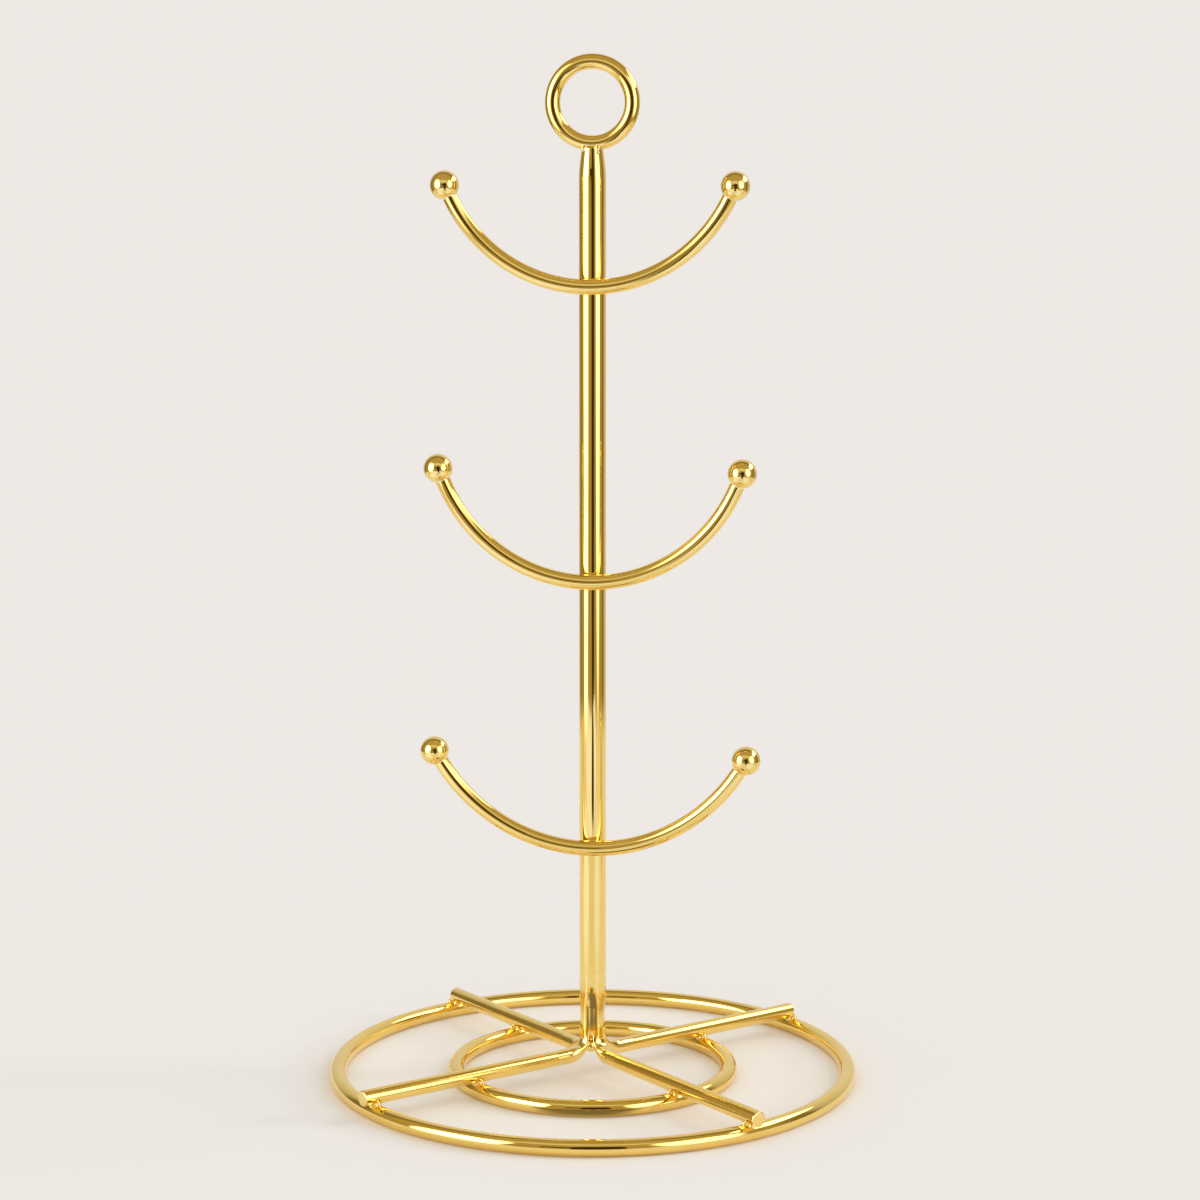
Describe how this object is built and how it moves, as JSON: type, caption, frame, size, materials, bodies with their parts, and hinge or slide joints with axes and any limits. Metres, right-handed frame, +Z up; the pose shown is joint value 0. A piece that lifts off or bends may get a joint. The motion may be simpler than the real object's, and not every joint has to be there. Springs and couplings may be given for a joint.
{
  "type": "jewelry stand",
  "caption": "Gold-plated wire stand: a round post on a flat ring base, crescent arms with ball ends to hang chains and bangles on, and a ring on top to lift it by.",
  "frame": {"origin": "on the table, under the post, at the centre of the base rings", "axes": "+Z up along the post, -Y towards the front, where the arms cross the post, +X along the arms to the right"},
  "size_m": [0.16, 0.16, 0.3069],
  "materials": {
    "gold_plated_steel": "polished",
    "gold_plated_filler": "polished"
  },
  "bodies": {
    "root": {"post_tube": "gold_plated_steel", "foot_hub": "gold_plated_steel", "leg_front_left": "gold_plated_steel", "leg_front_right": "gold_plated_steel", "leg_back_right": "gold_plated_steel", "leg_back_left": "gold_plated_steel", "base_outer_ring": "gold_plated_steel", "base_inner_ring": "gold_plated_steel", "finial_cap": "gold_plated_steel", "finial_ring": "gold_plated_steel", "upper_arm": "gold_plated_steel", "middle_arm": "gold_plated_steel", "lower_arm": "gold_plated_steel", "upper_left_ball": "gold_plated_steel", "upper_right_ball": "gold_plated_steel", "middle_left_ball": "gold_plated_steel", "middle_right_ball": "gold_plated_steel", "lower_left_ball": "gold_plated_steel", "lower_right_ball": "gold_plated_steel", "finial_braze": "gold_plated_filler", "upper_arm_braze": "gold_plated_filler", "middle_arm_braze": "gold_plated_filler", "lower_arm_braze": "gold_plated_filler", "outer_ring_brazes": "gold_plated_filler", "inner_ring_brazes": "gold_plated_filler", "upper_ball_brazes": "gold_plated_filler", "middle_ball_brazes": "gold_plated_filler", "lower_ball_brazes": "gold_plated_filler"}
  },
  "joints": []
}
